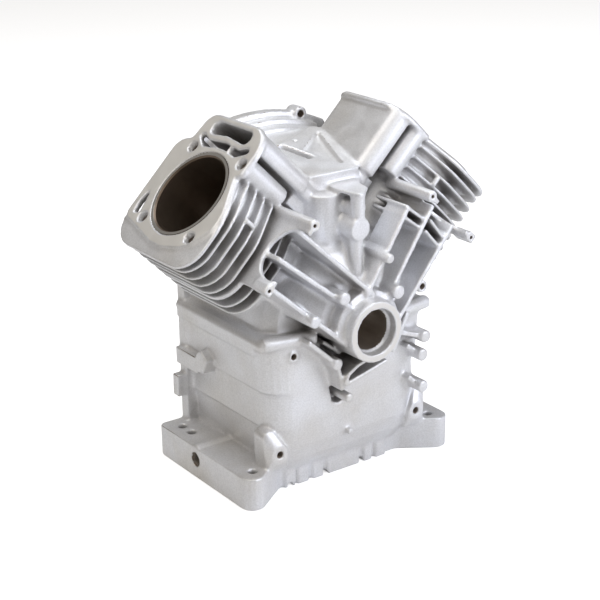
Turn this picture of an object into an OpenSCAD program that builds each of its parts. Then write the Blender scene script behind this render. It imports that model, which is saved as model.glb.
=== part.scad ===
// Die-cast crankcase and twin cylinder block of a small 90 degree air-cooled V engine.
// The origin is the centre of the crankshaft bore on the front boss face.
// X is to the right, Y to the rear and Z up, seen from the front. All sizes in millimetres.

/* [Cylinders] */
// Diameter of each cylinder bore
bore_d = 78; // [74:1:82]
// Wall of each cylinder liner
liner_wall = 4; // [3:0.5:5]
// Length of each cylinder liner
liner_len = 99; // [90:1:102]
// Wall of the cast barrel round the liner
barrel_wall = 5; // [4:0.5:7]
// Crankshaft centre to the head gasket face
deck_height = 185; // [180:1:192]
// Front boss face to the centre of the left cylinder
left_y = 100.5; // [98:0.5:103]
// How far the right cylinder sits behind the left one
stagger = 5.5; // [2:0.5:8]

/* [Deck and fins] */
// Thickness of the top plate under the gasket face
top_plate_t = 3.5; // [3:0.5:5]
// Height of the machined gasket face over the top plate
gasket_step = 2.2; // [1:0.2:3]
// Distance from one fin to the next
fin_pitch = 11.5; // [10.5:0.5:12]
// Thickness of a fin
fin_t = 2.6; // [2:0.2:4]
// Number of cooling fins under the top plate
fin_count = 7; // [5:1:7]
// Fin edge beyond the bore, front side
fin_front = 25; // [22:1:28]
// Fin edge beyond the bore, rear side
fin_rear = 28; // [24:1:31]
// Fin edge beyond the bore, outer side
fin_outer = 26.5; // [23:0.5:30]
// Deck edge beyond the bore on the valley side, over the pushrod tunnel
tab_reach = 41; // [39:1:44]
// Half the distance between neighbouring head studs
stud_half = 39; // [38:0.5:40]
// Offset of the stud square towards the valley
stud_shift = 2.7; // [0:0.1:4]
// Diameter of a head stud hole
stud_hole_d = 8.5; // [6:0.5:9]
// Depth of a head stud hole
stud_hole_depth = 32; // [20:1:40]

/* [Crankshaft bore] */
// Diameter of the oil seal pocket
seal_d = 44; // [38:1:48]
// Depth of the oil seal pocket
seal_depth = 9.5; // [6:0.5:14]
// Diameter of the main bearing bore
main_bore_d = 39; // [32:1:42]
// Outer diameter of the crankshaft boss
boss_d = 58; // [54:1:64]

/* [Crankcase] */
// Front boss face to the rear cover face
case_len = 190.5; // [186:0.5:196]
// Front boss face to the front wall of the crankcase
front_wall_y = 37; // [34:1:41]
// How far the upper wall behind the ribs lies back from the front wall
upper_wall_back = 13; // [10:1:16]
// Wall thickness of the crankcase
case_wall = 7; // [5:0.5:8]
// Half the width of the crankcase at crankshaft height
case_half_w = 94; // [91:1:97]
// Outer radius of the crank chamber
drum_r = 86; // [84:1:89]
// Outer radius of the arched rear rim
arch_r = 169; // [165:1:173]
// Thickness of the rear cover flange
flange_t = 12.5; // [9:0.5:15]
// Width of the rear cover flange
flange_w = 14; // [12:1:16]

/* [Base] */
// Crankshaft centre to the underside
base_drop = 159; // [154:1:164]
// Height of the feet
foot_h = 32; // [26:1:36]
// Half the width over the feet
foot_half_w = 121; // [117:1:126]
// Front boss face to the front of the feet
foot_front_y = 22; // [18:1:26]
// Half the distance across the mounting holes
foot_hole_x = 105; // [102:1:107]
// Front mounting holes behind the front boss face
foot_hole_front_y = 50; // [48:1:56]
// Distance from the front mounting holes to the rear ones
foot_hole_pitch = 122; // [112:1:124]
// Diameter of a mounting hole
foot_hole_d = 9.5; // [8:0.5:12]
// Diameter of the oil drain hole
drain_d = 14; // [10:1:16]

/* [Cooling shroud lugs] */
// Deck face to the lug plate, across the cylinder
lug_drop = 59; // [57:0.5:61]
// Thickness of the lug plate
lug_t = 4.5; // [3:0.5:6]
// Diameter of a lug boss
lug_boss_d = 11; // [9:1:13]
// Diameter of the screw hole in a lug boss
lug_hole_d = 3.4; // [2.5:0.1:5]

/* [Hidden] */
$fn = 64;

overlap = 1;
bore_r = bore_d / 2;
liner_r = bore_r + liner_wall;
barrel_r = liner_r + barrel_wall;
right_y = left_y + stagger;
liner_bottom = deck_height - liner_len;
deck_plate_s = deck_height - gasket_step;
deck_v = bore_r + tab_reach;
fin_out_v = -bore_r - fin_outer;
fin_top_v = bore_r + 9;
fin_front_y = -bore_r - fin_front;
fin_rear_y = bore_r + fin_rear;
tunnel_v = deck_v - 3.5;
tunnel_in_v = barrel_r + 9;
tunnel_front_y = -bore_r - 7;
tunnel_rear_y = bore_r + 6;
tunnel_bottom = 92;
tunnel_step_s = 117;
pocket_in_v = tunnel_in_v + 2.5;
pocket_out_v = tunnel_v - 3.5;
lug_s = deck_height - lug_drop;
column_s = lug_s + lug_t + 1.5;
lug_v = 32;
lug_bar = lug_boss_d - 2;
lug_low_v = -36;
chamber_r = drum_r - case_wall - 3;
rear_y = case_len;
base_z = -base_drop;
foot_top_z = base_z + foot_h;
sump_floor_z = base_z + 18;
drain_depth = 51;
ledge_z = 0;
ledge_h = 18;
ledge_out = 4;
bead_r = 6.5;
front_low_y = 54;
upper_wall_y = front_wall_y + upper_wall_back;
band_z = -56;
band2_z = -93;
band_step = 4.5;
waist_half_w = case_half_w - 4;
low_half_w = case_half_w - 7;
foot_level_half_w = case_half_w - 13.5;
corner_r = 25;
gusset_x = 81;
web_r = boss_d / 2 + 7;
arch_half_w = 60;
roof_step = 6;
roof_steps = 3;
pad_front_y = 64;
pad_rear_y = 154;
pad_front_z = 133;
pad_half_w = 29;
shelf_z = 121.5;
pad_rise = 18.5;
cam_z = 91;
rim_boss_x = 44;
rim_boss_z = sqrt(pow(arch_r - 1, 2) - pow(rim_boss_x, 2));
metal = [0.80, 0.81, 0.83];
iron = [0.42, 0.38, 0.35];

function unit(v) = v / norm(v);
function turn(a) = a > 180 ? a - 360 : a < -180 ? a + 360 : a;

// Arc that rounds the corner p, given as [x, y, radius], between its neighbours
function corner(before, p, after, steps) =
    let(c = [p.x, p.y])
    let(a = unit([before.x, before.y] - c))
    let(b = unit([after.x, after.y] - c))
    let(half = acos(a * b) / 2)
    let(mid = c + unit(a + b) * p.z / sin(half))
    let(start = c + a * p.z / tan(half) - mid)
    let(end = c + b * p.z / tan(half) - mid)
    let(from = atan2(start.y, start.x))
    let(sweep = turn(atan2(end.y, end.x) - from))
    p.z == 0 ? [c] : [for (i = [0:steps]) mid + p.z * [cos(from + sweep * i / steps), sin(from + sweep * i / steps)]];

function rounded(p, steps = 5) =
    [for (i = [0:len(p) - 1]) each corner(p[(i + len(p) - 1) % len(p)], p[i], p[(i + 1) % len(p)], steps)];

// Places its children in a cylinder's own frame: X towards the valley, Z along the bore
module left_bank() {
    translate([0, left_y, 0]) rotate([0, -45, 0]) children();
}

module right_bank() {
    translate([0, right_y, 0]) mirror([1, 0, 0]) rotate([0, -45, 0]) children();
}

// A cylinder along Y from y0 to y1
module y_rod(x, z, r, y0, y1) {
    translate([x, y0, z]) rotate([-90, 0, 0]) cylinder(r = r, h = y1 - y0);
}

// An outline in X and Z, pushed from y0 to y1
module y_slab(y0, y1) {
    translate([0, y1, 0]) rotate([90, 0, 0]) linear_extrude(y1 - y0) children();
}

// An outline in Y and Z, pushed from x0 to x1
module x_slab(x0, x1) {
    translate([x0, 0, 0]) rotate([90, 0, 90]) linear_extrude(x1 - x0) children();
}

module deck_outline() {
    polygon(rounded([
        [deck_v, tunnel_front_y - 3.5, 26],
        [deck_v, tunnel_rear_y + 1, 14],
        [fin_top_v + 2, tunnel_rear_y + 5, 5],
        [fin_top_v, fin_rear_y, 16],
        [fin_out_v, fin_rear_y, 30],
        [fin_out_v, fin_front_y, 26],
        [-8, fin_front_y, 85],
        [31, -bore_r - 4, 2],
        [31, tunnel_front_y - 3.5, 3],
    ]));
}

// The machined gasket face, bulged round the liner and the outer studs
module gasket_outline() {
    polygon(rounded([
        [deck_v - 1.2, tunnel_front_y - 2.3, 25],
        [deck_v - 1.2, tunnel_rear_y, 13],
        [fin_top_v + 1, tunnel_rear_y + 3.5, 5],
        [fin_top_v - 1.5, fin_rear_y - 1.5, 15],
        [-stud_half - 3, fin_rear_y - 1.5, 10],
        [-stud_half - 7, stud_half + 5, 8],
        [-barrel_r - 6.5, 8, 30],
        [-barrel_r - 6.5, -10, 30],
        [-barrel_r - 1, -stud_half + 5, 8],
        [-stud_half - 2, -stud_half - 7, 8],
        [-22, fin_front_y + 4, 12],
        [-6, fin_front_y + 4, 26],
        [30, -bore_r - 2.8, 2],
        [30, tunnel_front_y - 2.3, 3],
    ]));
}

module fin_outline() {
    polygon(rounded([
        [fin_top_v - 1, 0, 0],
        [fin_top_v - 1, fin_rear_y - 1, 16],
        [fin_out_v + 1, fin_rear_y - 1, 30],
        [fin_out_v + 1, fin_front_y + 1, 26],
        [-6, fin_front_y + 1, 80],
        [32, -bore_r - 9, 3],
        [32, 0, 0],
    ]));
}

module pushrod_pocket_outline() {
    polygon(rounded([
        [pocket_out_v, -28, 7],
        [pocket_out_v, 31, 7],
        [pocket_in_v - 1, 31, 6],
        [pocket_in_v + 2.5, 4, 40],
        [pocket_in_v - 1, -28, 6],
    ]));
}

// Curved cooling slot between the bore and the pushrod pocket, bridged near its front end
module cooling_slot_outline() {
    difference() {
        polygon(rounded([
            [barrel_r + 10, -35, 2.4],
            [barrel_r + 5, -22, 6],
            [barrel_r + 7.5, 0, 30],
            [barrel_r + 5, 24, 6],
            [barrel_r + 10, 37, 2.4],
            [barrel_r + 6, 40, 2.4],
            [barrel_r - 2.5, 27, 5],
            [barrel_r + 1.5, 0, 40],
            [barrel_r - 2.5, -24, 5],
            [barrel_r + 5, -38, 2.4],
        ]));
        translate([barrel_r - 4, -11.5]) square([20, 2.4]);
    }
}

module slit_outline() {
    polygon(rounded([
        [-8, bore_r + 15, 1],
        [-34, bore_r + 9, 2],
        [-36, bore_r + 17, 1.5],
        [-24, bore_r + 19, 10],
    ]));
}

// Plate across the cylinder that carries the two shroud lugs and a round cut-out between them
module lug_plate() {
    difference() {
        translate([lug_low_v - 4, -left_y, lug_s])
            cube([lug_v - lug_low_v + 7, left_y - 20, lug_t]);
        translate([-2, 9 - left_y, lug_s - overlap]) cylinder(r = 26, h = lug_t + 2 * overlap);
    }
}

// One cylinder with its deck, fins and pushrod tunnel, solid inside
module bank_solid() {
    cylinder(r = barrel_r, h = deck_plate_s - overlap / 2);
    translate([0, 0, deck_plate_s - top_plate_t]) linear_extrude(top_plate_t) deck_outline();
    translate([0, 0, deck_plate_s - overlap]) linear_extrude(gasket_step + overlap) gasket_outline();
    for (i = [1:fin_count]) {
        if (i != 5)
            translate([0, 0, deck_height - i * fin_pitch - fin_t]) linear_extrude(fin_t) fin_outline();
    }
    translate([0, 0, lug_s]) linear_extrude(lug_t) fin_outline();
    stud_columns();
    pushrod_tunnel();
    lug_plate();
    lug_bosses();
    fin_bridge();
}

module stud_columns() {
    for (v = [stud_shift - stud_half, stud_shift + stud_half]) {
        for (y = [-stud_half, stud_half])
            translate([v, y, column_s]) cylinder(r = 10.5, h = deck_plate_s - column_s - overlap);
    }
}

// Small sprue bridge left between the second and third fins
module fin_bridge() {
    translate([2, fin_front_y + 2.5, deck_height - 3 * fin_pitch - 1]) cube([4, 5, fin_pitch]);
}

module pushrod_tunnel() {
    tunnel_section(tunnel_step_s, 0);
    tunnel_section(tunnel_bottom, 4);
    translate([barrel_r - 6, -12.5, tunnel_bottom]) cube([20, 4.4, deck_plate_s - tunnel_bottom - overlap]);
    // wall that closes the crankcase between the barrel and the tunnel
    translate([barrel_r - 3, -34, tunnel_bottom - 12])
        cube([tunnel_in_v - barrel_r + 8, 76, tunnel_step_s - tunnel_bottom + 13]);
}

// Length of tunnel from s up to the deck, its wall drawn in by inset
module tunnel_section(s, inset) {
    translate([0, 0, s]) linear_extrude(deck_plate_s - s - overlap)
        polygon(rounded([
            [tunnel_in_v, tunnel_front_y + inset, 4],
            [tunnel_v - inset, tunnel_front_y + inset, 13 - inset],
            [tunnel_v - inset, tunnel_rear_y - inset, 9 - inset],
            [tunnel_in_v, tunnel_rear_y - inset, 4],
        ], 8));
}

// The valley lug is a round boss, the outer one a square bar
module lug_bosses() {
    translate([lug_v, -left_y, lug_s + lug_t / 2]) rotate([-90, 0, 0]) cylinder(d = lug_boss_d, h = 62);
    translate([lug_low_v - lug_bar / 2, -left_y, lug_s + lug_t / 2 - lug_bar / 2])
        cube([lug_bar, 20, lug_bar]);
}

module bank_cuts() {
    // liner seat and the relief below its shoulder
    translate([0, 0, liner_bottom]) cylinder(r = liner_r, h = liner_len + overlap);
    translate([0, 0, 40]) cylinder(r = liner_r - 2, h = liner_bottom - 40 + overlap);
    // pushrod pocket down to the cam chamber
    translate([0, 0, tunnel_bottom + 8]) linear_extrude(deck_height) pushrod_pocket_outline();
    // cooling slots
    translate([0, 0, deck_plate_s - top_plate_t - 3]) linear_extrude(20) cooling_slot_outline();
    translate([0, 0, deck_height - fin_pitch * 2]) linear_extrude(deck_height) slit_outline();
    // head studs
    for (v = [stud_shift - stud_half, stud_shift + stud_half]) {
        for (y = [-stud_half, stud_half])
            translate([v, y, 0]) stud_hole();
    }
    // screw holes of the shroud lugs
    for (v = [lug_v, lug_low_v]) {
        translate([v, -left_y - overlap, lug_s + lug_t / 2]) rotate([-90, 0, 0])
            cylinder(d = lug_hole_d, h = 12 + overlap);
    }
}

module stud_hole() {
    translate([0, 0, deck_height - stud_hole_depth]) cylinder(d = stud_hole_d, h = stud_hole_depth + overlap);
    translate([0, 0, deck_height - 4]) cylinder(d = stud_hole_d + 2.6, h = 4 + overlap);
}

// Rib in a cylinder's frame from [v, s] to [v, s], its front edge at y0 and y1
module bank_rib(from, to, t, y0, y1, back) {
    run = norm(to - from);
    translate([from.x, 0, from.y]) rotate([0, 90 - atan2(to.y - from.y, to.x - from.x), 0])
        translate([t / 2, 0, 0]) rotate([0, -90, 0]) linear_extrude(t)
            polygon([[0, y0], [run, y1], [run, back], [0, back]]);
}

// Ribs from the crankshaft boss to the lug plate of one cylinder, each [v, s, v, s, rear edge]
module bank_ribs(lines) {
    for (r = lines) bank_rib([r[0], r[1]], [r[2], r[3]], 4.5, 10, 17, r[4]);
}

// Horizontal section of the lower case at half width w, from y0 to the rear
module case_section(w, y0, h) {
    linear_extrude(h) polygon(rounded([
        [-w, rear_y - flange_t, 0],
        [-w, y0, corner_r],
        [w, y0, corner_r],
        [w, rear_y - flange_t, 0],
    ], 6));
}

// Lower case in three tiers that draw in towards the feet, the last one rounded under
module lower_case() {
    hull() {
        translate([0, 0, -0.5]) case_section(case_half_w, front_wall_y, 0.5);
        translate([0, 0, band_z]) case_section(waist_half_w, front_wall_y + 0.5, 0.5);
    }
    hull() {
        translate([0, 0, band_z + 0.2]) case_section(waist_half_w - band_step, front_wall_y + 0.5, 0.5);
        translate([0, 0, band2_z]) case_section(low_half_w, front_wall_y + 1, 0.5);
    }
    hull() {
        for (p = [[band2_z + 0.2, 1], [-112, 2.5], [-127, 7], [-137, 13], [-144, 20]]) {
            translate([0, 0, p[0]])
                case_section(low_half_w - 2.5 + (p[0] - band2_z) * 0.09, front_wall_y + p[1], 0.5);
        }
    }
}

// Rounded bead along both sides at crankshaft height, turned along the top of the front wall
module ledge() {
    side_y = front_wall_y + 8;
    for (side = [-1, 1]) {
        y_rod(side * (case_half_w + ledge_out - bead_r), ledge_z - bead_r, bead_r, side_y, rear_y - 3);
        translate([side * (case_half_w - 4) - ledge_out - 3, side_y + corner_r / 2, ledge_z - ledge_h])
            cube([2 * ledge_out + 6, rear_y - side_y - corner_r / 2 - 3, ledge_h - bead_r]);
        front_bead([side * (case_half_w + ledge_out - 3), side_y], [side * 44, front_wall_y - 2]);
    }
}

// Round bead between two points [x, y] along the top edge of the case
module front_bead(from, to) {
    translate([from.x, from.y, ledge_z - bead_r + 2]) rotate([0, 0, atan2(to.y - from.y, to.x - from.x)])
        rotate([0, 90, 0]) cylinder(r = bead_r, h = norm(to - from));
}

// Crank chamber drum with a domed front wall
module drum() {
    back = rear_y - flange_t + overlap;
    difference() {
        rotate([-90, 0, 0]) rotate_extrude()
            polygon(rounded([
                [0, back, 0],
                [0, upper_wall_y - 24, 0],
                [44, upper_wall_y - 23, 10],
                [drum_r - 16, upper_wall_y - 9, 16],
                [drum_r, upper_wall_y + 10, 10],
                [drum_r, back, 0],
            ]));
        y_slab(0, upper_wall_y - 2) polygon([
            [-120, -120],
            [-120, 70],
            [-20.5, -20],
            [0, -24],
            [31, -17],
            [120, 86],
            [120, -120],
        ]);
    }
}

function arch_outline(r, w, low) = [
    for (a = [-asin(w / r):6:asin(w / r)]) [r * sin(a), r * cos(a)],
    [w, r * cos(asin(w / r))],
    [w, low],
    [-w, low],
];

// Stepped roof behind the valley, in arches round the crankshaft
module stepped_roof() {
    for (i = [0:roof_steps]) {
        y_slab(rear_y - flange_t - 10 * i - 9, rear_y - flange_t + overlap)
            polygon(arch_outline(arch_r - roof_step * (i + 1), arch_half_w - 2 * i, 20));
    }
}

// Rear cover flange: arched top, straight sides
module flange_outline(inset, low) {
    intersection() {
        circle(r = arch_r - inset);
        polygon(rounded([
            [-case_half_w + inset, low, 0],
            [-case_half_w + inset, 112, 30],
            [-arch_half_w + inset, arch_r + 10, 0],
            [arch_half_w - inset, arch_r + 10, 0],
            [case_half_w - inset, 112, 30],
            [case_half_w - inset, low, 0],
        ]));
    }
}

// Housing under the breather pad, between the pushrod tunnels
module valley_block() {
    intersection() {
        x_slab(-arch_half_w, arch_half_w) polygon([
            [pad_front_y, 60],
            [pad_front_y, pad_front_z],
            [pad_rear_y, pad_front_z + pad_rise],
            [rear_y - flange_t, pad_front_z + pad_rise],
            [rear_y - flange_t, 60],
        ]);
        y_slab(0, rear_y) polygon([
            [0, 60],
            [-12, 76],
            [-pad_half_w, pad_front_z - 33],
            [-pad_half_w, pad_front_z + 1],
            [-pad_half_w - pad_rise, pad_front_z + pad_rise + 1],
            [pad_half_w + pad_rise, pad_front_z + pad_rise + 1],
            [pad_half_w, pad_front_z + 1],
            [pad_half_w, pad_front_z - 33],
            [12, 76],
        ]);
    }
}

// Raised rim of the breather pad, following the slope of the roof
module pad_rim() {
    slope = atan2(pad_rise, pad_rear_y - pad_front_y);
    translate([0, pad_front_y, pad_front_z]) rotate([slope, 0, 0]) translate([0, 0, -4]) linear_extrude(7)
        polygon(rounded([
            [-28.5, -0.5, 2],
            [28.5, -0.5, 2],
            [48, 90, 3],
            [40, 94, 3],
            [6, 77, 3],
            [-15, 70, 4],
            [-30, 34, 4],
        ]));
}

module pad_cuts() {
    slope = atan2(pad_rise, pad_rear_y - pad_front_y);
    translate([0, pad_front_y, pad_front_z]) rotate([slope, 0, 0]) {
        translate([0, 0, -1.5]) linear_extrude(10)
            polygon(rounded([[19, 9, 2], [41, 82, 2], [2, 51, 2]]));
        translate([0, 0, -5]) linear_extrude(12)
            polygon(rounded([[-18, 66, 3], [-10, 68, 3], [3, 34, 3], [-5, 31, 3]]));
        translate([6, 70, 0]) cylinder(d = 4, h = 8);
    }
}

// Front of the valley: cam bearing boss, its column and the thin pointed shelf
module valley_front() {
    y_rod(0, cam_z, 10.5, 24, 80);
    translate([0, 31, 40]) cylinder(r = 6, h = cam_z - 40);
    translate([-4, 31, 40]) cube([8, 39, cam_z - 40]);
    y_rod(3, cam_z + 17, 8, 30, 80);
    translate([1, 30, cam_z]) cylinder(r = 6.5, h = shelf_z - cam_z + 1);
    translate([0, 0, shelf_z]) linear_extrude(3.5)
        polygon([[-3, 22], [-9, 48], [-7, 68], [24, 68], [17, 36], [4, 23]]);
    translate([-12, 66, 40]) cylinder(r = 20, h = shelf_z - 42);
    translate([13, 72.5, 40]) cylinder(r = 19.5, h = shelf_z - 38);
}

// Crankshaft boss, with the web that joins it to both rib fans
module crank_boss() {
    y_rod(0, 0, boss_d / 2, 0, upper_wall_y + 14);
    intersection() {
        y_rod(0, 0, web_r, 13, upper_wall_y);
        y_slab(0, upper_wall_y) polygon([
            [-19, -19],
            [-80, 36],
            [-80, 80],
            [80, 80],
            [80, 40],
            [29, -16],
            [0, -22],
        ]);
    }
}

// Blank bosses on the front wall: [x, z, radius, front face]
front_bosses = [
    [-31.7, 37.4, 6, 5],
    [-64.4, 22.8, 5.5, 5],
    [-30, -30, 5.5, 18],
    [-15, -68, 4.5, 20],
    [19.2, 64.4, 4.5, 5],
    [29.7, 30.3, 6.5, 5],
    [74, -28, 6, 18],
    [71, -46, 6, 18],
    [74, -80, 6, 20],
    [-4, -110, 3, 33],
];

module front_boss_rods() {
    for (b = front_bosses) y_rod(b[0], b[1], b[2], b[3], upper_wall_y + 13);
    y_rod(-67, -19, 5.5, front_wall_y - 2, upper_wall_y);
    y_rod(84, 15, 6, 36, upper_wall_y + 12);
}

// Recess of the front wall round the lower bosses, left of the crankshaft boss
module front_recess_outline() {
    polygon(rounded([
        [-54, 3, 2],
        [-38, -14, 4],
        [-28, -32, 5],
        [-29, -46, 6],
        [-22, -76, 5],
        [-8, -81, 5],
        [-12, -57, 3],
        [26, -44, 3],
        [28, -22, 3],
        [-20, -14, 3],
    ]));
}

// Thin ribs that tie the lower bosses to the crankshaft boss
module lower_ribs() {
    front_rib([-61, -2], [-30, -30], 4.5, 20);
    front_rib([-30, -30], [-25, -46], 4, 19);
    front_rib([-25.5, -44], [-22, -58], 5, 20);
    front_rib([-38, -10], [-18, -26], 4, 30);
    // rim of the long slot under the boss
    front_rib([-23, -50], [-19, -42], 4, 16);
    front_rib([-20, -43], [-9, -36], 3.5, 16);
    front_rib([-10, -36.5], [7, -31], 3.5, 16);
    front_rib([-23, -52], [26, -39.5], 4, 16);
    front_rib([30, -12], [72, -28], 5, 22);
    front_rib([52, 2], [34, -34], 5, 18);
    front_rib([71, -46], [58, -36], 5, 26);
    front_rib([74, -80], [62, -70], 5, 28);
    // cross webs between the ribs of the right cylinder
    front_rib([46, 106], [70, 88], 3, 17);
    front_rib([42, 98], [66, 80], 3, 17);
    front_rib([76, 87], [93, 66], 3, 17);
    front_rib([70, 78], [88, 58], 3, 17);
}

// Rib in the front wall from [x, z] to [x, z]
module front_rib(from, to, t, y0) {
    run = norm(to - from);
    translate([from.x, y0, from.y]) rotate([0, -atan2(to.y - from.y, to.x - from.x), 0])
        translate([0, 0, -t / 2]) cube([run, upper_wall_y - y0 + 10.5, t]);
}

module base() {
    translate([0, 0, base_z]) linear_extrude(foot_h) polygon(rounded([
        [-foot_half_w, rear_y, 6],
        [-foot_half_w, foot_front_y, 12],
        [-70, 57, 8],
        [70, 57, 8],
        [foot_half_w, foot_front_y, 12],
        [foot_half_w, rear_y, 6],
    ]));
    // pads along the bottom of the front wall
    for (p = [[-66, 12], [-51.5, 13], [-33.5, 12], [-16.5, 38.5], [28, 9.5], [42.5, 12]]) {
        translate([p[0], front_low_y - 1, base_z]) cube([p[1], 12, 19]);
    }
    // gussets over the feet, round the tapped bosses
    for (side = [-1, 1]) {
        hull() {
            y_rod(side * gusset_x, base_z + 45, 9, 39, 60);
            y_rod(side * (gusset_x + 7), base_z + 61, 7.5, 46, 62);
            translate([side * (gusset_x + 1) - 12, 44, foot_top_z - 4]) cube([24, 18, 2]);
        }
        // ridge of the drain boss across each foot
        translate([side * 100, 124, foot_top_z - 9]) rotate([0, 90, 0]) cylinder(r = 11, h = 40, center = true);
    }
}

// Locating blocks on the rear corners of both sides
module side_blocks() {
    for (side = [-1, 1]) {
        translate([side * 92, 0, 0]) {
            translate([-8, 150, -66]) cube([16, 38, 17]);
            translate([-8, 0, 0]) x_slab(0, 14) polygon([[151, -63], [140, -63], [131, -47], [143, -39], [151, -45]]);
            translate([-12, 179, -99]) cube([24, 10, 22]);
        }
    }
}

module rear_bosses() {
    for (side = [-1, 1]) y_rod(side * rim_boss_x, rim_boss_z, 7, rear_y - 16, rear_y);
}

cover_screws = [
    for (side = [-1, 1]) each [
        [side * rim_boss_x, rim_boss_z],
        [side * 87, 84],
        [side * 87, 20],
        [side * 79, -50],
        [side * 79, -112],
        [side * 32, base_z + 9.5],
    ],
];

module underside_pockets() {
    pocket_w = 35;
    pitch = 39;
    for (i = [-1:1]) {
        translate([i * pitch - pocket_w / 2, 66, base_z - overlap]) cube([pocket_w, rear_y - 92, 9 + overlap]);
    }
    for (side = [-1, 1]) translate([side * 95 - 12, 66, base_z - overlap]) cube([24, 36, 18 + overlap]);
    for (x = [-60, -18, 25]) translate([x - 3, front_low_y - 3, base_z - overlap]) cube([6, 16, 4 + overlap]);
}

module case_cavity() {
    y_rod(0, 0, chamber_r, upper_wall_y + case_wall + 4, rear_y + overlap);
    y_slab(front_low_y + case_wall + 3, rear_y + overlap) polygon([
        [-low_half_w + case_wall + 6, -20],
        [-foot_level_half_w + case_wall, sump_floor_z],
        [foot_level_half_w - case_wall, sump_floor_z],
        [low_half_w - case_wall - 6, -20],
    ]);
    difference() {
        y_slab(80, rear_y + overlap) polygon(arch_outline(124, 44, 20));
        left_bank() translate([0, 0, 50]) cylinder(r = barrel_r, h = deck_height - 50);
        right_bank() translate([0, 0, 50]) cylinder(r = barrel_r, h = deck_height - 50);
    }
    y_slab(rear_y - flange_t - 18, rear_y + overlap) intersection() {
        flange_outline(flange_w, sump_floor_z);
        polygon(arch_outline(arch_r - flange_w, arch_half_w - 12, sump_floor_z));
    }
}

module crank_bore() {
    y_rod(0, 0, seal_d / 2, -overlap, seal_depth);
    y_rod(0, 0, main_bore_d / 2, -overlap, upper_wall_y + 30);
    y_rod(0, cam_z, 7, 40, 120);
}

module drilled_holes() {
    for (side = [-1, 1]) {
        for (y = [0, foot_hole_pitch]) {
            translate([side * foot_hole_x, foot_hole_front_y + y, base_z - overlap])
                cylinder(d = foot_hole_d, h = foot_h + 20);
        }
        y_rod(side * gusset_x, base_z + 45, 3.4, 36, 55);
        y_rod(side * (gusset_x + 7), base_z + 61, 3.4, 44, 60);
    }
    translate([-foot_hole_x, foot_hole_front_y + foot_hole_pitch - 17, base_z - overlap])
        cylinder(d = foot_hole_d, h = foot_h + 20);
    translate([-foot_half_w - overlap, 124, base_z + 19]) rotate([0, 90, 0])
        cylinder(d = drain_d, h = drain_depth + overlap);
    y_rod(-67, -19, 3, front_wall_y - 4, front_wall_y + 10);
    y_rod(84, 15, 3, 35, 52);
    for (p = cover_screws) y_rod(p[0], p[1], 3.4, rear_y - 22, rear_y + overlap);
}

// Walls of the crankcase, with the recess of the front wall
module case_shell() {
    difference() {
        union() {
            lower_case();
            drum();
        }
        y_slab(0, upper_wall_y - 1) front_recess_outline();
    }
    ledge();
    stepped_roof();
    y_slab(rear_y - flange_t, rear_y) flange_outline(0, base_z + 10);
}

module block_casting() {
    color(metal) difference() {
        union() {
            case_shell();
            left_bank() bank_solid();
            right_bank() bank_solid();
            left_bank() translate([0, -left_y, 0])
                bank_ribs([
                    [26, 18, 23, lug_s + 1, upper_wall_y + 12],
                    [4, 24, -7, lug_s + 1, upper_wall_y + 12],
                    [-24, 2, -31.5, lug_s + 1, upper_wall_y + 12],
                ]);
            right_bank() translate([0, -right_y, 0])
                bank_ribs([
                    [25, 20, 38.6, 110, upper_wall_y - 6],
                    [1, 24, 15, lug_s + 1, upper_wall_y + 12],
                    [-24.5, 12, -19, lug_s + 1, upper_wall_y + 12],
                ]);
            valley_block();
            pad_rim();
            valley_front();
            crank_boss();
            front_boss_rods();
            lower_ribs();
            base();
            side_blocks();
            rear_bosses();
        }
        left_bank() bank_cuts();
        right_bank() bank_cuts();
        case_cavity();
        crank_bore();
        drilled_holes();
        pad_cuts();
        underside_pockets();
    }
}

module liner() {
    translate([0, 0, liner_bottom]) difference() {
        cylinder(r = liner_r, h = liner_len);
        translate([0, 0, -overlap]) cylinder(d = bore_d, h = liner_len + 2 * overlap);
        translate([0, 0, liner_len - 1.5]) cylinder(d1 = bore_d, d2 = bore_d + 3.2, h = 1.6);
    }
}

module left_liner() {
    color(iron) left_bank() liner();
}

module right_liner() {
    color(iron) right_bank() liner();
}

block_casting();
left_liner();
right_liner();
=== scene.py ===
import math
import bpy
import bmesh
import numpy as np
from mathutils import Matrix, Vector
from mathutils.bvhtree import BVHTree


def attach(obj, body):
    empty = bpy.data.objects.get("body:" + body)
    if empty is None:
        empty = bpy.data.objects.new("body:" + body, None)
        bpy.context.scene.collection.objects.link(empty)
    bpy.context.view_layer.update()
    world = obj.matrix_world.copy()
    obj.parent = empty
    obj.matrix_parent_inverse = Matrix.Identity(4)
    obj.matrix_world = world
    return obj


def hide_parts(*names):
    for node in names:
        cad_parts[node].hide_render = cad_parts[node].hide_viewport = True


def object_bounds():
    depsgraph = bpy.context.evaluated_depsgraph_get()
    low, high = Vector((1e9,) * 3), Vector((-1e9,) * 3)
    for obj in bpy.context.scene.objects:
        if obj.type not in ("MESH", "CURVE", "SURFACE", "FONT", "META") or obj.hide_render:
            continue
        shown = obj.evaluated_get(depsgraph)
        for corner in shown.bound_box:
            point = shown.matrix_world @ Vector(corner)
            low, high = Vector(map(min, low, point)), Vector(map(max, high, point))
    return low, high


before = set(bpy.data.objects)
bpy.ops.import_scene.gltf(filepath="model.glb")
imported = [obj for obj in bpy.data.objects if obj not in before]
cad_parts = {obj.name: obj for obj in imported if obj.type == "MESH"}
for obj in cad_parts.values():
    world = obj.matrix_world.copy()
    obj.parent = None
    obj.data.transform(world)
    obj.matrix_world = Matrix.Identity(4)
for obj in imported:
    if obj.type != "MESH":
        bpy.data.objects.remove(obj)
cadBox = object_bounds()
print("stage: packed frame loaded")

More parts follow.
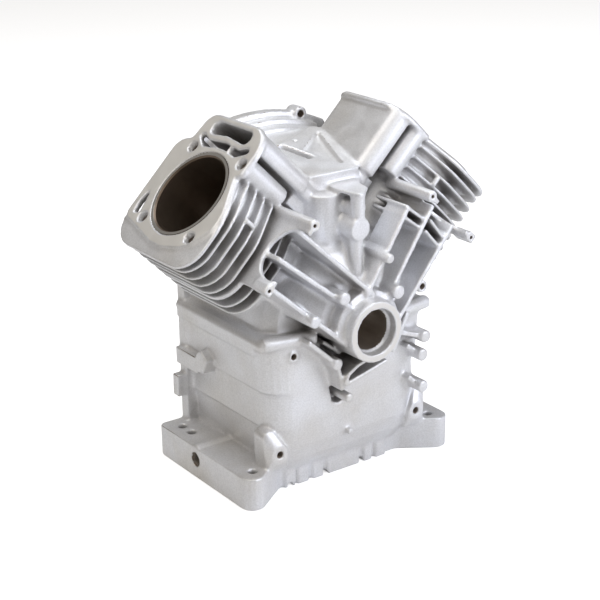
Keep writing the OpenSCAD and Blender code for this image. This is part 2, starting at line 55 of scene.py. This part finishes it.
scene = bpy.context.scene
halfRoot = math.sqrt(0.5)  # cosine of the 45 degrees that each bank leans
deckHeight = 0.185  # crankshaft centre to the head gasket face
bankY = {"left": 0.1005, "right": 0.106}  # front boss face to each bore's axis
blockMiddle = Vector((0, 0.1, 0))


def linear(hexColour):  # sRGB hex to the linear values Blender works in
    values = [int(hexColour[i:i + 2], 16) / 255 for i in (1, 3, 5)]
    return [v / 12.92 if v <= 0.04045 else ((v + 0.055) / 1.055) ** 2.4 for v in values] + [1.0]


def addNode(tree, kind, settings=None, inputs=None):  # one node, its settings, its values and links
    node = tree.nodes.new(kind)
    for name, value in (settings or {}).items():
        setattr(node, name, value)
    for name, value in (inputs or {}).items():
        if isinstance(value, bpy.types.NodeSocket):
            tree.links.new(value, node.inputs[name])
        else:
            node.inputs[name].default_value = value
    return node


def addPiece(name, mesh, materials):  # finished mesh, in place, riding on the block
    piece = bpy.data.objects.new(name, mesh)
    scene.collection.objects.link(piece)
    mesh.materials.clear()
    for material in materials:
        mesh.materials.append(material)
    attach(piece, "root")
    return piece


def evaluated(holder):  # plain mesh of an object with its modifiers, the holder then removed
    graph = bpy.context.evaluated_depsgraph_get()
    mesh = bpy.data.meshes.new_from_object(holder.evaluated_get(graph))
    source = holder.data
    holder.modifiers.clear()
    bpy.data.objects.remove(holder)
    bpy.data.meshes.remove(source)
    return mesh


def bankMatrix(side):  # from a cylinder's own frame (X to the valley, Z along the bore) to the row frame
    sign = 1 if side == "left" else -1
    turned = Matrix(((halfRoot * sign, 0, -halfRoot * sign), (0, 1, 0), (halfRoot, 0, halfRoot)))
    return Matrix.Translation((0, bankY[side], 0)) @ turned.to_4x4()


cameraLook = {
    "place": (-0.7779, -0.9649, 0.4910),  # metres
    "turn": 35.68,  # degrees round from the front
    "tilt": 20.35,  # degrees above level
    "roll": -0.68,
    "lens": 88.69,  # mm on a 36 mm sensor
}


def setCamera(look):
    turn, tilt, roll = (math.radians(look[name]) for name in ("turn", "tilt", "roll"))
    back = Vector((-math.sin(turn) * math.cos(tilt), -math.cos(turn) * math.cos(tilt), math.sin(tilt)))
    right = Vector((math.cos(turn), -math.sin(turn), 0))
    up = back.cross(right)
    right = right * math.cos(roll) + up * math.sin(roll)
    up = back.cross(right)
    data = bpy.data.cameras.new("camera")
    camera = bpy.data.objects.new("camera", data)
    scene.collection.objects.link(camera)
    placed = Matrix((right, up, back)).transposed().to_4x4()
    placed.translation = look["place"]
    camera.matrix_world = placed
    data.lens = look["lens"]
    data.sensor_width = 36
    data.clip_end = 20
    scene.camera = camera


lightLook = {
    "world": 0.17,  # even light from all round, warm in the shadows
    "worldColour": "#FFF6EA",
    "lampSize": 1.8,  # metres
    "lamps": {  # place in metres, power and colour
        "softKey": ((1.3, -2.1, 1.0), 42, "#EEF2FF"),
        "softTop": ((0.3, 0.6, 2.5), 31, "#F6FAFF"),
        "softFront": ((0.0, -1.7, 2.2), 17, "#FFFFFF"),
        "softLeft": ((-1.6, 0.0, 2.1), 21, "#FFF8EE"),
    },
    "floorColour": "#F0F0F0",
    "floorHalf": 6,  # metres
    "floorGlow": 0.6,  # lifts the floor to white for the camera, short of its shadow
}


def addLamp(name, place, power, size, colour):
    data = bpy.data.lights.new(name, "AREA")
    data.energy = power
    data.size = size
    data.color = linear(colour)[:3]
    lamp = bpy.data.objects.new(name, data)
    scene.collection.objects.link(lamp)
    lamp.location = place
    lamp.rotation_euler = (blockMiddle - Vector(place)).to_track_quat("-Z", "Y").to_euler()


def setLight(look):
    for name, (place, power, colour) in look["lamps"].items():
        addLamp(name, place, power, look["lampSize"], colour)
    world = bpy.data.worlds.new("studio")
    scene.world = world
    world.use_nodes = True
    tree = world.node_tree
    tree.nodes.clear()
    path = addNode(tree, "ShaderNodeLightPath")
    seen = addNode(tree, "ShaderNodeMath", {"operation": "MAXIMUM"},
                   {0: path.outputs["Is Camera Ray"], 1: path.outputs["Is Transmission Ray"]})
    lit = addNode(tree, "ShaderNodeBackground", None,
                  {"Color": linear(look["worldColour"]), "Strength": look["world"]})
    white = addNode(tree, "ShaderNodeBackground", None, {"Color": (1, 1, 1, 1), "Strength": 1.0})
    both = addNode(tree, "ShaderNodeMixShader", None,
                   {0: seen.outputs[0], 1: lit.outputs[0], 2: white.outputs[0]})
    addNode(tree, "ShaderNodeOutputWorld", None, {"Surface": both.outputs[0]})


def addFloor(look):
    mesh = bpy.data.meshes.new("floor")
    half = look["floorHalf"]
    level = cadBox[0][2]
    corners = [(x * half, y * half, level) for x, y in ((-1, -1), (1, -1), (1, 1), (-1, 1))]
    mesh.from_pydata(corners, [], [(0, 1, 2, 3)])
    floor = bpy.data.objects.new("floor", mesh)
    scene.collection.objects.link(floor)
    material = bpy.data.materials.new("paperFloor")
    material.use_nodes = True
    tree = material.node_tree
    tree.nodes.clear()
    path = addNode(tree, "ShaderNodeLightPath")
    paper = addNode(tree, "ShaderNodeBsdfDiffuse", None, {"Color": linear(look["floorColour"])})
    glow = addNode(tree, "ShaderNodeMath", {"operation": "MULTIPLY"},
                   {0: path.outputs["Is Camera Ray"], 1: look["floorGlow"]})
    lift = addNode(tree, "ShaderNodeEmission", None, {"Color": (1, 1, 1, 1), "Strength": glow.outputs[0]})
    both = addNode(tree, "ShaderNodeAddShader", None, {0: paper.outputs[0], 1: lift.outputs[0]})
    addNode(tree, "ShaderNodeOutputMaterial", None, {"Surface": both.outputs[0]})
    mesh.materials.append(material)


scene.view_settings.view_transform = "Standard"
setCamera(cameraLook)
setLight(lightLook)
addFloor(lightLook)
print("stage: camera, light and floor set")


waveRadians = 20  # what a wave texture turns in one metre at scale 1


def newMaterial(name):
    material = bpy.data.materials.new(name)
    material.use_nodes = True
    tree = material.node_tree
    tree.nodes.clear()
    place = addNode(tree, "ShaderNodeTexCoord").outputs["Object"]
    return material, tree, place


def finishMaterial(tree, colour, roughness, bump, metallic):
    shader = addNode(tree, "ShaderNodeBsdfPrincipled", None,
                     {"Base Color": colour, "Metallic": metallic, "Roughness": roughness, "Normal": bump})
    addNode(tree, "ShaderNodeOutputMaterial", None, {"Surface": shader.outputs[0]})


castLook = {
    "colour": "#ECEDF0",
    "dullColour": "#D3CFC8",
    "metallic": 0.55,
    "roughness": (0.36, 0.52),
    "grainMm": 1.5,  # shot-blast grain, about 0.3 mm on the real part, drawn coarser so that it shows
    "grainShade": 0.86,
    "flowMm": 14,  # slow waviness left by the metal filling the die
    "grainDepth": 0.00012,
    "flowDepth": 0.0003,
    "stainMm": 62.5,  # broad dull patches
    "stainShare": 0.6,
    # the next three set painted shade in gaps, holes and inner corners
    "recessShadeColour": "#827E7A",
    "recessShadeMm": 24,  # painted shade: a gap or hole up to about this wide is darker inside
    "recessShadeShare": 0.85,
}


# High-pressure die-cast aluminium, shot-blasted: satin, pale, soft highlights with a fine dry grain, and
# painted shade in its gaps, holes and inner corners
def blastedDieCast(look):
    material, tree, place = newMaterial("blastedDieCast")
    grain = addNode(tree, "ShaderNodeTexNoise", None,
                    {"Vector": place, "Scale": 1000 / look["grainMm"], "Detail": 2.0, "Roughness": 0.6})
    flow = addNode(tree, "ShaderNodeTexNoise", None,
                   {"Vector": place, "Scale": 1000 / look["flowMm"], "Detail": 3.0, "Roughness": 0.55})
    broad = addNode(tree, "ShaderNodeTexNoise", None,
                    {"Vector": place, "Scale": 1000 / look["stainMm"], "Detail": 4.0})
    stain = addNode(tree, "ShaderNodeMapRange", None,
                    {"Value": broad.outputs[0], "From Min": 0.42, "From Max": 0.75,
                     "To Min": 0.0, "To Max": look["stainShare"]})
    tint = addNode(tree, "ShaderNodeMix", {"data_type": "RGBA"},
                   {0: stain.outputs[0], 6: linear(look["colour"]), 7: linear(look["dullColour"])})
    speck = addNode(tree, "ShaderNodeMapRange", None,
                    {"Value": grain.outputs[0], "From Min": 0.3, "From Max": 0.7,
                     "To Min": look["grainShade"], "To Max": 1.0})
    colour = addNode(tree, "ShaderNodeMix", {"data_type": "RGBA", "blend_type": "MULTIPLY"},
                     {0: 1.0, 6: tint.outputs[2], 7: speck.outputs[0]})
    # painted shade: ambient occlusion darkens gaps, holes and inner corners towards a dark grey
    shelter = addNode(tree, "ShaderNodeAmbientOcclusion", {"samples": 8, "only_local": True},
                      {"Distance": look["recessShadeMm"] / 1000})
    recessShade = addNode(tree, "ShaderNodeMapRange", None,
                    {"Value": shelter.outputs["AO"], "From Min": 0.08, "From Max": 0.66,
                     "To Min": look["recessShadeShare"], "To Max": 0.0})
    shadedColour = addNode(tree, "ShaderNodeMix", {"data_type": "RGBA"},
                    {0: recessShade.outputs[0], 6: colour.outputs[2], 7: linear(look["recessShadeColour"])})
    low, high = look["roughness"]
    rough = addNode(tree, "ShaderNodeMapRange", None,
                    {"Value": flow.outputs[0], "From Min": 0.3, "From Max": 0.7,
                     "To Min": low, "To Max": high})
    coarse = addNode(tree, "ShaderNodeBump", None,
                     {"Height": flow.outputs[0], "Strength": 0.6, "Distance": look["flowDepth"]})
    fine = addNode(tree, "ShaderNodeBump", None,
                   {"Height": grain.outputs[0], "Strength": 0.7, "Distance": look["grainDepth"],
                    "Normal": coarse.outputs[0]})
    finishMaterial(tree, shadedColour.outputs[2], rough.outputs[0], fine.outputs[0], look["metallic"])
    return material


machinedLook = {
    "colour": "#DFDDD9",
    "metallic": 0.4,
    "roughness": (0.38, 0.52),
    "feedMm": 0.8,  # for one radian, so cutter marks lie 5 mm apart, drawn coarser than real ones
    "markDepth": 0.00002,
    "patchScale": 60.0,  # duller patches about 17 mm wide
}


# Face-milled aluminium: flat grey, a little glossier than the casting, with fine cutter marks
def milledAluminium(look):
    material, tree, place = newMaterial("milledAluminium")
    marks = addNode(tree, "ShaderNodeTexWave", {"wave_type": "BANDS", "bands_direction": "Y"},
                    {"Vector": place, "Scale": 1000 / look["feedMm"] / waveRadians,
                     "Distortion": 1.5, "Detail": 2.0, "Detail Scale": 0.4})
    patch = addNode(tree, "ShaderNodeTexNoise", None,
                    {"Vector": place, "Scale": look["patchScale"], "Detail": 4.0})
    low, high = look["roughness"]
    rough = addNode(tree, "ShaderNodeMapRange", None,
                    {"Value": patch.outputs[0], "From Min": 0.35, "From Max": 0.65,
                     "To Min": low, "To Max": high})
    bump = addNode(tree, "ShaderNodeBump", None,
                   {"Height": marks.outputs[0], "Strength": 0.5, "Distance": look["markDepth"]})
    finishMaterial(tree, linear(look["colour"]), rough.outputs[0], bump.outputs[0], look["metallic"])
    return material


# painted shade for bores, tapped holes, thread turns and closed hollows
shadeInsideLook = {
    "colour": "#A2968A",
    "dullColour": "#7C7167",
    "metallic": 0.6,
    "roughness": 0.36,
    "patchMm": 25,
}


# Painted shade on bored aluminium, tapped holes, thread turns and closed hollows: brown-grey, darker than
# any face round it
def shadedInsides(look):
    material, tree, place = newMaterial("shadedInsides")
    patch = addNode(tree, "ShaderNodeTexNoise", None,
                    {"Vector": place, "Scale": 1000 / look["patchMm"], "Detail": 4.0})
    colour = addNode(tree, "ShaderNodeMix", {"data_type": "RGBA"},
                     {0: patch.outputs[0], 6: linear(look["colour"]), 7: linear(look["dullColour"])})
    bump = addNode(tree, "ShaderNodeBump", None,
                   {"Height": patch.outputs[0], "Strength": 0.2, "Distance": 0.0001})
    finishMaterial(tree, colour.outputs[2], look["roughness"], bump.outputs[0], look["metallic"])
    return material


ironLook = {
    "colour": "#857769",
    "dullColour": "#5A4C41",
    "rimColour": "#B9B7B3",  # end of the liner, milled off together with the deck
    "metallic": 0.75,
    "roughness": 0.36,
    "rimDepth": 0.0001,
    "ringMm": 1.2,  # for one radian, so boring rings lie 7.5 mm apart, coarser than real ones to show
    "rustMm": 22,
}


# Bored grey cast iron: dark brown-grey, with fine rings from the boring bar and a trace of rust
def boredIron(look):
    material, tree, place = newMaterial("boredIron")
    patch = addNode(tree, "ShaderNodeTexNoise", None,
                    {"Vector": place, "Scale": 1000 / look["rustMm"], "Detail": 5.0})
    colour = addNode(tree, "ShaderNodeMix", {"data_type": "RGBA"},
                     {0: patch.outputs[0], 6: linear(look["colour"]), 7: linear(look["dullColour"])})
    parts = addNode(tree, "ShaderNodeSeparateXYZ", None, {0: place})
    side = addNode(tree, "ShaderNodeMath", {"operation": "ABSOLUTE"}, {0: parts.outputs[0]})
    along = addNode(tree, "ShaderNodeMath", {"operation": "ADD"}, {0: side.outputs[0], 1: parts.outputs[2]})
    line = addNode(tree, "ShaderNodeCombineXYZ", None, {2: along.outputs[0]})
    onRim = addNode(tree, "ShaderNodeMath", {"operation": "GREATER_THAN"},
                    {0: along.outputs[0], 1: (deckHeight - look["rimDepth"]) / halfRoot})
    shown = addNode(tree, "ShaderNodeMix", {"data_type": "RGBA"},
                    {0: onRim.outputs[0], 6: colour.outputs[2], 7: linear(look["rimColour"])})
    rings = addNode(tree, "ShaderNodeTexWave", {"wave_type": "BANDS", "bands_direction": "Z"},
                    {"Vector": line.outputs[0], "Scale": 1000 * halfRoot / look["ringMm"] / waveRadians})
    bump = addNode(tree, "ShaderNodeBump", None,
                   {"Height": rings.outputs[0], "Strength": 0.4, "Distance": 0.00003})
    finishMaterial(tree, shown.outputs[2], look["roughness"], bump.outputs[0], look["metallic"])
    return material


castMaterial = blastedDieCast(castLook)
milledMaterial = milledAluminium(machinedLook)
shadeInsideMaterial = shadedInsides(shadeInsideLook)
ironMaterial = boredIron(ironLook)
print("stage: materials made")

for linerName in ("left_liner", "right_liner"):
    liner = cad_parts[linerName]
    liner.data.materials.clear()
    liner.data.materials.append(ironMaterial)


threadLook = {
    "stepsInTurn": 18,
    "ridge": 0.3,  # half height of a thread ridge as a share of the pitch
    "clearEnds": 0.0015,  # metres left bare at the mouth and at the end of a hole
}

towardsFront = Matrix.Rotation(math.radians(90), 4, "X")  # Z of the turns to -Y
towardsRear = Matrix.Rotation(math.radians(-90), 4, "X")
towardsLeft = Matrix.Rotation(math.radians(-90), 4, "Y")
studs = {
    "shift": 0.0027,  # middle of the four, from the bore's axis towards the valley
    "half": 0.039,  # half the side of their square
    "recess": 0.004,  # their holes start this far below the gasket face
}
studPlaces = [(studs["shift"] + a * studs["half"], b * studs["half"], deckHeight - studs["recess"])
              for a in (-1, 1) for b in (-1, 1)]
lugPlaces = [(v, -0.1005, 0.12825) for v in (0.032, -0.036)]
coverRow = [(0.044, 0.1621), (0.087, 0.084), (0.087, 0.020), (0.079, -0.050), (0.079, -0.112),
            (0.032, -0.1495)]
coverPlaces = [(s * x, cadBox[1][1], z) for x, z in coverRow for s in (-1, 1)]
lowBrackets = [(s * 0.081, 0.039, -0.114) for s in (-1, 1)]
highBrackets = [(s * 0.088, 0.046, -0.098) for s in (-1, 1)]
frontPlaces = [(-0.067, 0.035, -0.019), (0.084, 0.036, 0.015)]
still = Matrix()

# tapped holes: name, frame of their places, way their mouths face, places, radius, depth, pitch
holeGroups = [
    ("leftStuds", bankMatrix("left"), still, studPlaces, 0.00425, 0.028, 0.0015),
    ("rightStuds", bankMatrix("right"), still, studPlaces, 0.00425, 0.028, 0.0015),
    ("leftLugs", bankMatrix("left"), towardsFront, lugPlaces, 0.0017, 0.012, 0.0007),
    ("rightLugs", bankMatrix("right"), towardsFront, lugPlaces, 0.0017, 0.012, 0.0007),
    ("brackets", still, towardsFront, lowBrackets, 0.0034, 0.016, 0.00125),
    ("highBrackets", still, towardsFront, highBrackets, 0.0034, 0.014, 0.00125),
    ("frontScrews", still, towardsFront, frontPlaces, 0.003, 0.012, 0.001),
    ("coverScrews", still, towardsRear, coverPlaces, 0.0034, 0.0125, 0.00125),
    ("drain", still, towardsLeft, [(-0.121, 0.124, -0.140)], 0.007, 0.020, 0.0015),
]


def threadTree():  # turns of thread at each point, wound downwards from it
    tree = bpy.data.node_groups.new("threadTurns", "GeometryNodeTree")
    sockets = {}
    for name, kind in (("Points", "NodeSocketGeometry"), ("Radius", "NodeSocketFloat"),
                       ("Pitch", "NodeSocketFloat"), ("Depth", "NodeSocketFloat"),
                       ("Ridge", "NodeSocketFloat"), ("Steps", "NodeSocketInt"),
                       ("Turn", "NodeSocketVector"), ("Material", "NodeSocketMaterial")):
        sockets[name] = tree.interface.new_socket(name, in_out="INPUT", socket_type=kind).identifier
    tree.interface.new_socket("Turns", in_out="OUTPUT", socket_type="NodeSocketGeometry")
    given = addNode(tree, "NodeGroupInput").outputs
    turns = addNode(tree, "ShaderNodeMath", {"operation": "DIVIDE"},
                    {0: given["Depth"], 1: given["Pitch"]})
    down = addNode(tree, "ShaderNodeMath", {"operation": "MULTIPLY"}, {0: given["Depth"], 1: -1.0})
    coil = addNode(tree, "GeometryNodeCurveSpiral", None,
                   {"Resolution": given["Steps"], "Rotations": turns.outputs[0],
                    "Start Radius": given["Radius"], "End Radius": given["Radius"],
                    "Height": down.outputs[0]})
    profile = addNode(tree, "GeometryNodeCurvePrimitiveCircle", None,
                      {"Resolution": 4, "Radius": given["Ridge"]})
    ridge = addNode(tree, "GeometryNodeCurveToMesh", None,
                    {"Curve": coil.outputs[0], "Profile Curve": profile.outputs[0], "Fill Caps": True})
    spots = addNode(tree, "GeometryNodeMeshToPoints", None, {"Mesh": given["Points"]})
    placed = addNode(tree, "GeometryNodeInstanceOnPoints", None,
                     {"Points": spots.outputs[0], "Instance": ridge.outputs[0], "Rotation": given["Turn"]})
    real = addNode(tree, "GeometryNodeRealizeInstances", None, {"Geometry": placed.outputs[0]})
    dressed = addNode(tree, "GeometryNodeSetMaterial", None,
                      {"Geometry": real.outputs[0], "Material": given["Material"]})
    addNode(tree, "NodeGroupOutput", None, {0: dressed.outputs[0]})
    return tree, sockets


def addThreads(look, groups):
    tree, sockets = threadTree()
    joined = bmesh.new()
    for name, matrix, facing, places, radius, depth, pitch in groups:
        mouth = facing.to_3x3() @ Vector((0, 0, -look["clearEnds"]))
        points = bpy.data.meshes.new(name)
        points.from_pydata([Vector(place) + mouth for place in places], [], [])
        holder = bpy.data.objects.new(name, points)
        scene.collection.objects.link(holder)
        modifier = holder.modifiers.new("threads", "NODES")
        modifier.node_group = tree
        for socket, value in (("Radius", radius), ("Pitch", pitch),
                              ("Depth", depth - 2 * look["clearEnds"]),
                              ("Ridge", look["ridge"] * pitch), ("Steps", look["stepsInTurn"]),
                              ("Turn", tuple(facing.to_euler())), ("Material", shadeInsideMaterial)):
            modifier[sockets[socket]] = value
        turns = evaluated(holder)
        turns.transform(matrix)
        if matrix.determinant() < 0:
            turns.flip_normals()
        joined.from_mesh(turns)
        bpy.data.meshes.remove(turns)
    bmesh.ops.recalc_face_normals(joined, faces=joined.faces)
    mesh = bpy.data.meshes.new("threadTurns")
    joined.to_mesh(mesh)
    joined.free()
    for polygon in mesh.polygons:
        polygon.use_smooth = True
    print("stage: threads made,", len(mesh.polygons), "faces")
    return addPiece("threadTurns", mesh, [shadeInsideMaterial])


addThreads(threadLook, holeGroups)


skinLook = {
    "voxel": 0.0011,  # metres, fine enough for a 2.6 mm fin
    "filletRounds": 26,  # rounds that fill inner corners only, as the die's own radii do
    "filletRate": 0.8,
    "normalRounds": 3,  # rounds after which the directions are taken afresh
    "keepClear": 0.0016,  # metres round a cut face or a drilled hole where no fillet grows
    "softenRounds": 4,  # rounds of plain smoothing, which take the edge off outer corners
    "softenFactor": 0.5,
    "triangles": 194000,
    "snap": 0.0003,  # a point this near a face of the exact solid goes back onto it
    "snapFacing": 0.97,  # where both face nearly the same way
    "weld": 0.000002,  # corners of the CAD mesh this near are one
}


def mergedCopy(node):  # CAD mesh with its loose triangles joined
    copy = bmesh.new()
    copy.from_mesh(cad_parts[node].data)
    bmesh.ops.remove_doubles(copy, verts=copy.verts, dist=skinLook["weld"])
    return copy


holePoint = 0.006  # metres of drilled hole past its thread


def nearHoles(points, gap, above):  # which points lie at a tapped hole's wall, from so far above its mouth
    near = np.zeros(len(points), dtype=bool)
    for name, matrix, facing, places, radius, depth, pitch in holeGroups:
        axis = np.array((matrix.to_3x3() @ facing.to_3x3() @ Vector((0, 0, 1))).normalized())
        for place in places:
            offset = points - np.array(matrix @ Vector(place))
            run = offset @ axis
            away = np.linalg.norm(offset - run[:, None] * axis, axis=1)
            near |= (away < radius + gap) & (run < above) & (run > -depth - holePoint)
    return near


keptClear = {  # bores whose walls stay as cut, in metres
    "sealRadius": 0.022,
    "crankTo": 0.09,  # end of the crankshaft bore
    "barrelRadius": 0.043,  # round the liners
}


def castShare(points, gap):  # 1 on skin as cast, 0 near a cut face or a hole
    x, y, z = points.T
    cast = np.ones(len(points))
    cast[(y < gap) | (y > cadBox[1][1] - gap) | (z < cadBox[0][2] + gap)] = 0
    cast[(np.hypot(x, z) < keptClear["sealRadius"] + gap) & (y < keptClear["crankTo"])] = 0
    for side, sign in (("left", -1), ("right", 1)):
        along = (sign * x + z) * halfRoot
        across = (z - sign * x) * halfRoot
        cast[along > deckHeight - gap] = 0
        cast[np.hypot(across, y - bankY[side]) < keptClear["barrelRadius"] + gap] = 0
    cast[nearHoles(points, gap, gap)] = 0
    return cast


def growFillets(mesh, look):  # each point may only move outwards, so inner corners fill and edges stay
    count = len(mesh.vertices)
    ends = np.empty(len(mesh.edges) * 2, dtype=np.int32)
    mesh.edges.foreach_get("vertices", ends)
    ends = ends.reshape(-1, 2)
    links = np.bincount(ends.ravel(), minlength=count)
    points = np.empty(count * 3)
    mesh.vertices.foreach_get("co", points)
    points = points.reshape(-1, 3)
    facing = np.empty(count * 3)
    cast = castShare(points, look["keepClear"]) * look["filletRate"]
    for turn in range(look["filletRounds"]):
        if turn % look["normalRounds"] == 0:
            mesh.vertices.foreach_set("co", points.ravel())
            mesh.update()
            mesh.vertices.foreach_get("normal", facing)
            normals = facing.reshape(-1, 3)
        mean = np.empty_like(points)
        for axis in range(3):
            total = np.bincount(ends[:, 0], points[ends[:, 1], axis], count)
            total += np.bincount(ends[:, 1], points[ends[:, 0], axis], count)
            mean[:, axis] = total / links
        lift = np.einsum("ij,ij->i", mean - points, normals)
        points += normals * (np.clip(lift, 0, None) * cast)[:, None]
    mesh.vertices.foreach_set("co", points.ravel())
    mesh.update()


def softenedCasting(look):  # the finished skin, and a tree of the exact solid's faces
    exact = mergedCopy("block_casting")
    tree = BVHTree.FromBMesh(exact)
    mesh = bpy.data.meshes.new("softCasting")
    exact.to_mesh(mesh)
    exact.free()
    holder = bpy.data.objects.new("softCasting", mesh)
    scene.collection.objects.link(holder)
    remesh = holder.modifiers.new("remesh", "REMESH")
    remesh.mode = "VOXEL"
    remesh.voxel_size = look["voxel"]
    dense = evaluated(holder)
    print("stage: casting remeshed,", len(dense.polygons), "faces")
    growFillets(dense, look)
    print("stage: fillets grown")
    holder = bpy.data.objects.new("softCasting", dense)
    scene.collection.objects.link(holder)
    smooth = holder.modifiers.new("smooth", "SMOOTH")
    smooth.factor = look["softenFactor"]
    smooth.iterations = look["softenRounds"]
    thin = holder.modifiers.new("thin", "DECIMATE")
    thin.ratio = look["triangles"] / (2 * len(dense.polygons))
    thin.use_collapse_triangulate = True
    mesh = evaluated(holder)
    points = [(vertex.co.copy(), vertex.normal.copy()) for vertex in mesh.vertices]
    placed = []
    for point, facing in points:
        near, normal, index, distance = tree.find_nearest(point)
        kept = near if distance < look["snap"] and facing.dot(normal) > look["snapFacing"] else point
        placed.extend(kept)
    mesh.vertices.foreach_set("co", placed)
    mesh.update()
    print("stage: casting thinned,", len(mesh.polygons), "faces")
    return mesh, tree


flatGap = 0.00006  # metres a corner may lie off a flat face and still be on it


def isMilled(point):  # on a face that is cut flat after casting
    x, y, z = point
    if y < flatGap or y > cadBox[1][1] - flatGap or z < cadBox[0][2] + flatGap:
        return True
    return any((sign * x + z) * halfRoot > deckHeight - flatGap for sign in (-1, 1))


insideLook = {  # the hollows of the crankcase, in metres
    "front": 0.0605,  # behind the outside of the front wall
    "chamber": 0.0772,  # radius of the crank chamber
    "sumpHalf": 0.0775,
    "sumpFloor": -0.152,
    "camFront": 0.0795,
    "camHalf": 0.0447,
    "boreRadius": 0.0436,
    "openingFrom": 0.1595,  # the rear opening, below the cylinders
    "openingTo": 0.12,
    "rearRim": 0.001,  # in front of the rear face
    "reach": 0.0005,  # start of a sight line above its face
}
boredLook = {  # the wall of the crankshaft bore, in metres
    "wall": 0.0197,  # just outside the wall
    "widest": 0.0212,  # inside the wall of the seal pocket
    "pocketFloor": 0.0098,  # just behind the floor of the seal pocket
    "end": 0.081,
}
sightLines = [Vector(line) for line in ((0, 0, 1), (1, 0, 0), (-1, 0, 0), (0, 0, -1))]


def isBored(point):  # on the wall of the crankshaft bore, behind its seal pocket
    look = boredLook
    x, y, z = point
    away = math.hypot(x, z)
    inPocket = y < look["pocketFloor"] and away > look["wall"]
    return y < look["end"] and away < look["widest"] and not inPocket


def inHollow(point):  # in the crank chamber, sump, cam chamber, rear opening or a barrel
    look = insideLook
    x, y, z = point
    if y < look["front"] or y > cadBox[1][1] - look["rearRim"] or z < look["sumpFloor"]:
        return False
    if math.hypot(x, z) < look["chamber"] or (z < 0 and abs(x) < look["sumpHalf"]):
        return True
    if y > look["camFront"] and abs(x) < look["camHalf"]:
        return True
    if y > look["openingFrom"] and (abs(x) + z) * halfRoot < look["openingTo"]:
        return True
    side = "left" if x < 0 else "right"
    return math.hypot((z - abs(x)) * halfRoot, y - bankY[side]) < look["boreRadius"]


def isInside(point, facing, tree):  # in a hollow, where no sight line leaves sideways, up or down, so painted shade goes there
    if not inHollow(point):
        return False
    start = point + facing * insideLook["reach"]
    return all(tree.ray_cast(start, line)[0] is not None for line in sightLines)


casting, exactTree = softenedCasting(skinLook)
skinPoints = np.array([vertex.co[:] for vertex in casting.vertices])
inHole = nearHoles(skinPoints, 0.0006, -0.0005)  # metres beyond the wall, metres below the mouth
castingLooks = [castMaterial, milledMaterial, shadeInsideMaterial]
milledSlot, shadeInsideSlot = 1, 2
castingPiece = addPiece("castingSkin", casting, castingLooks)
for polygon in casting.polygons:
    polygon.use_smooth = True
    corners = [casting.vertices[index].co for index in polygon.vertices]
    if all(isMilled(corner) for corner in corners):
        polygon.material_index = milledSlot
    # painted shade on the crankshaft bore's wall and inside tapped holes
    elif all(isBored(corner) for corner in corners) or inHole[list(polygon.vertices)].all():
        polygon.material_index = shadeInsideSlot
    # painted shade on faces closed in on every side
    elif isInside(polygon.center, polygon.normal, exactTree):
        polygon.material_index = shadeInsideSlot
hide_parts("block_casting")
print("stage: casting dressed")

bpy.context.view_layer.update()
